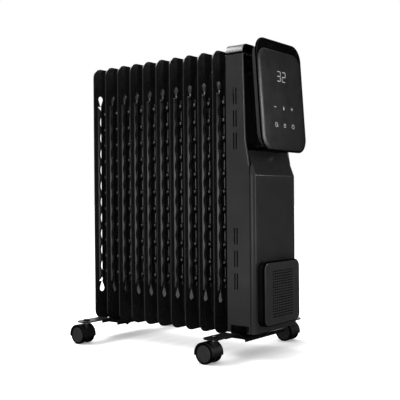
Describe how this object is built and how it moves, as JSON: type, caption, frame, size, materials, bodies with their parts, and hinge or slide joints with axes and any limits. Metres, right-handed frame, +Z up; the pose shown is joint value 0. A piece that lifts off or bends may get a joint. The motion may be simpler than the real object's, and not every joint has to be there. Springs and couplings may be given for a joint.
{
  "type": "oil filled radiator heater",
  "caption": "Free-standing oil filled radiator on twin-wheel swivel casters, with slotted fins, a leaning touch control pod and a small fan heater in its end cover.",
  "frame": {"origin": "on the floor, under the middle of the part's bounding box", "axes": "+X towards the control end, -Y the long side seen in the picture, +Z up"},
  "size_m": [0.472, 0.322, 0.6218],
  "materials": {
    "fin_paint": "satin black baked enamel",
    "housing_black": "fine satin black",
    "gloss_black": "polished black",
    "face_grey": "smooth matt charcoal",
    "foot_paint": "gloss black paint",
    "caster_black": "fine textured black",
    "bright_steel": "zinc plated",
    "circuit_green": "solder mask",
    "display_black": "smoked",
    "bare_aluminium": "plain",
    "inner_plastic": "moulded",
    "gland_rubber": "matt"
  },
  "bodies": {
    "heater": {"caster_stems": "bright_steel", "clamp_nuts": "foot_paint", "control_board": "circuit_green", "cord_gland": "gland_rubber", "cover_screws": "bright_steel", "display_module": "display_black", "element_flange": "bright_steel", "end_cover": "housing_black", "fan_box": "gloss_black", "fan_frame": "inner_plastic", "fan_grille": "housing_black", "fan_motor": "bright_steel", "fin_01": "fin_paint", "fin_02": "fin_paint", "fin_03": "fin_paint", "fin_04": "fin_paint", "fin_05": "fin_paint", "fin_06": "fin_paint", "fin_07": "fin_paint", "fin_08": "fin_paint", "fin_09": "fin_paint", "fin_10": "fin_paint", "fin_11": "fin_paint", "foot_bar_left": "foot_paint", "foot_bar_right": "foot_paint", "foot_clamps": "foot_paint", "front_panel": "face_grey", "header_caps": "fin_paint", "heating_tubes": "bright_steel", "pod_back_shell": "housing_black", "pod_bezel": "gloss_black", "pod_neck": "gloss_black", "power_board": "circuit_green", "ptc_heater": "bare_aluminium", "side_shroud": "housing_black", "stem_nuts": "foot_paint", "thermal_cutout": "bare_aluminium", "tip_switch": "inner_plastic", "top_cap": "housing_black", "upper_panel": "gloss_black"},
    "front_left_caster": {"front_left_hood": "caster_black", "front_left_axle": "bright_steel"},
    "front_left_wheel_a": {"front_left_wheel_a": "caster_black"},
    "front_left_wheel_b": {"front_left_wheel_b": "caster_black"},
    "front_right_caster": {"front_right_hood": "caster_black", "front_right_axle": "bright_steel"},
    "front_right_wheel_a": {"front_right_wheel_a": "caster_black"},
    "front_right_wheel_b": {"front_right_wheel_b": "caster_black"},
    "rear_left_caster": {"rear_left_hood": "caster_black", "rear_left_axle": "bright_steel"},
    "rear_left_wheel_a": {"rear_left_wheel_a": "caster_black"},
    "rear_left_wheel_b": {"rear_left_wheel_b": "caster_black"},
    "rear_right_caster": {"rear_right_hood": "caster_black", "rear_right_axle": "bright_steel"},
    "rear_right_wheel_a": {"rear_right_wheel_a": "caster_black"},
    "rear_right_wheel_b": {"rear_right_wheel_b": "caster_black"},
    "impeller": {"fan_impeller": "inner_plastic"},
    "pendulum": {"tip_pendulum": "bright_steel"}
  },
  "joints": [
    {"name": "front_left_swivel", "type": "hinge", "parent": "heater", "child": "front_left_caster", "pos_m": [-0.18302, -0.1425, 0.0431], "axis": [0, 0, 1], "continuous": true},
    {"name": "front_left_roll_a", "type": "hinge", "parent": "front_left_caster", "child": "front_left_wheel_a", "pos_m": [-0.19502, -0.15445, 0.02], "axis": [0, 1, 0], "continuous": true},
    {"name": "front_left_roll_b", "type": "hinge", "parent": "front_left_caster", "child": "front_left_wheel_b", "pos_m": [-0.19502, -0.13055, 0.02], "axis": [0, 1, 0], "continuous": true},
    {"name": "front_right_swivel", "type": "hinge", "parent": "heater", "child": "front_right_caster", "pos_m": [0.16098, -0.1425, 0.0431], "axis": [0, 0, 1], "continuous": true},
    {"name": "front_right_roll_a", "type": "hinge", "parent": "front_right_caster", "child": "front_right_wheel_a", "pos_m": [0.14898, -0.15445, 0.02], "axis": [0, 1, 0], "continuous": true},
    {"name": "front_right_roll_b", "type": "hinge", "parent": "front_right_caster", "child": "front_right_wheel_b", "pos_m": [0.14898, -0.13055, 0.02], "axis": [0, 1, 0], "continuous": true},
    {"name": "rear_left_swivel", "type": "hinge", "parent": "heater", "child": "rear_left_caster", "pos_m": [-0.18302, 0.1425, 0.0431], "axis": [0, 0, 1], "continuous": true},
    {"name": "rear_left_roll_a", "type": "hinge", "parent": "rear_left_caster", "child": "rear_left_wheel_a", "pos_m": [-0.19502, 0.13055, 0.02], "axis": [0, 1, 0], "continuous": true},
    {"name": "rear_left_roll_b", "type": "hinge", "parent": "rear_left_caster", "child": "rear_left_wheel_b", "pos_m": [-0.19502, 0.15445, 0.02], "axis": [0, 1, 0], "continuous": true},
    {"name": "rear_right_swivel", "type": "hinge", "parent": "heater", "child": "rear_right_caster", "pos_m": [0.16098, 0.1425, 0.0431], "axis": [0, 0, 1], "continuous": true},
    {"name": "rear_right_roll_a", "type": "hinge", "parent": "rear_right_caster", "child": "rear_right_wheel_a", "pos_m": [0.14898, 0.13055, 0.02], "axis": [0, 1, 0], "continuous": true},
    {"name": "rear_right_roll_b", "type": "hinge", "parent": "rear_right_caster", "child": "rear_right_wheel_b", "pos_m": [0.14898, 0.15445, 0.02], "axis": [0, 1, 0], "continuous": true},
    {"name": "fan_spin", "type": "hinge", "parent": "heater", "child": "impeller", "pos_m": [0.19878, 0, 0.1255], "axis": [1, 0, 0], "continuous": true},
    {"name": "tip_swing", "type": "hinge", "parent": "heater", "child": "pendulum", "pos_m": [0.20368, 0, 0.242], "axis": [1, 0, 0], "range_deg": [-25, 25]}
  ]
}
